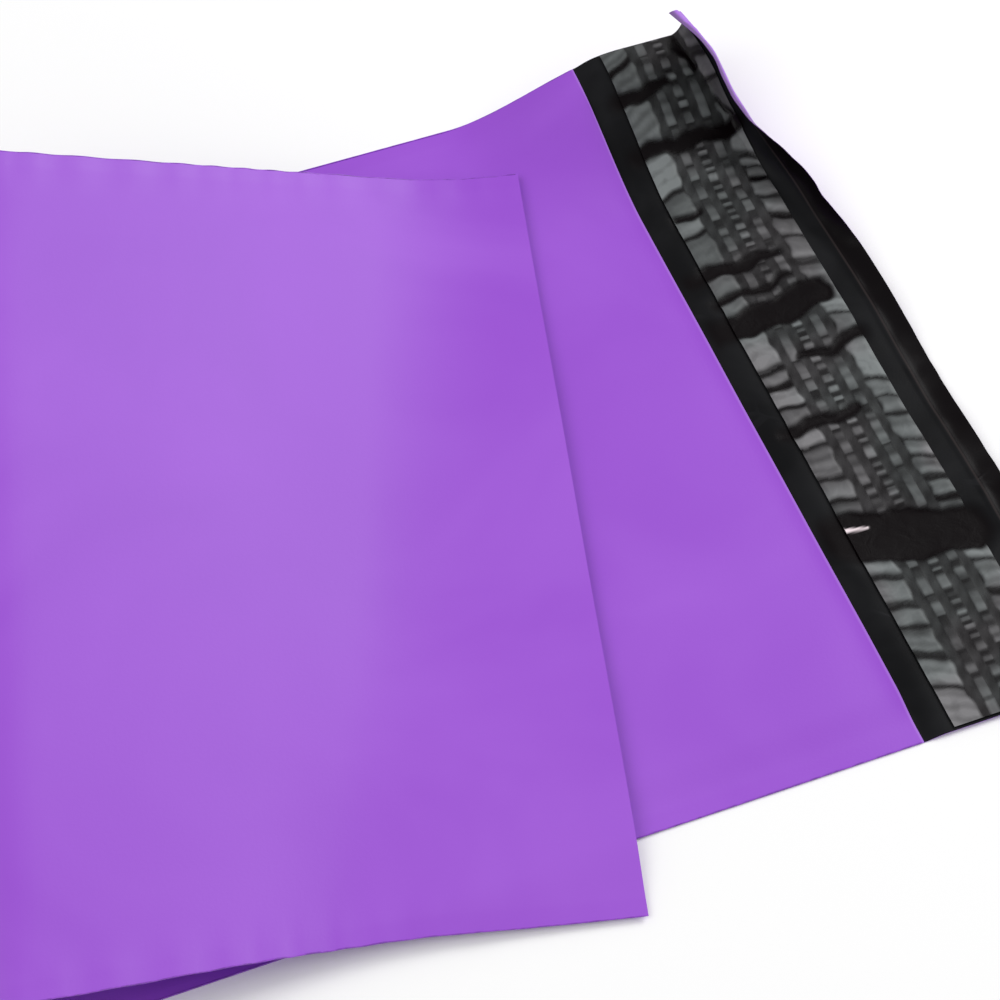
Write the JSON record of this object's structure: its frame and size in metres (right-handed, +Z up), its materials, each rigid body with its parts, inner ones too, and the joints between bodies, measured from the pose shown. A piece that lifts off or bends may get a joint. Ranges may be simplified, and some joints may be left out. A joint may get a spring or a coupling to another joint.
{
  "type": "poly mailer bag",
  "caption": "Plastic courier mailing bag, purple outside and black inside, lying with its bottom half folded over and its adhesive flap open.",
  "frame": {"origin": "on the resting face of the back panel, below the middle of the mouth edge", "axes": "+X from the mouth towards the flap's free edge, +Y along the mouth, +Z up out of the flat bag"},
  "size_m": [0.2488, 0.2181, 0.0392],
  "materials": {
    "purple_film": "co-extruded polyethylene film, satin purple outside, black inside",
    "hot_melt_glue": "tacky hot-melt glue, glossy, dark over the black film",
    "release_liner": "translucent siliconised film, grey where it lies clear of the glue"
  },
  "bodies": {
    "root": {"mailer_film": "purple_film", "glue_stripe_1": "hot_melt_glue", "glue_stripe_2": "hot_melt_glue", "glue_stripe_3": "hot_melt_glue", "glue_stripe_4": "hot_melt_glue", "release_liner": "release_liner"}
  },
  "joints": []
}
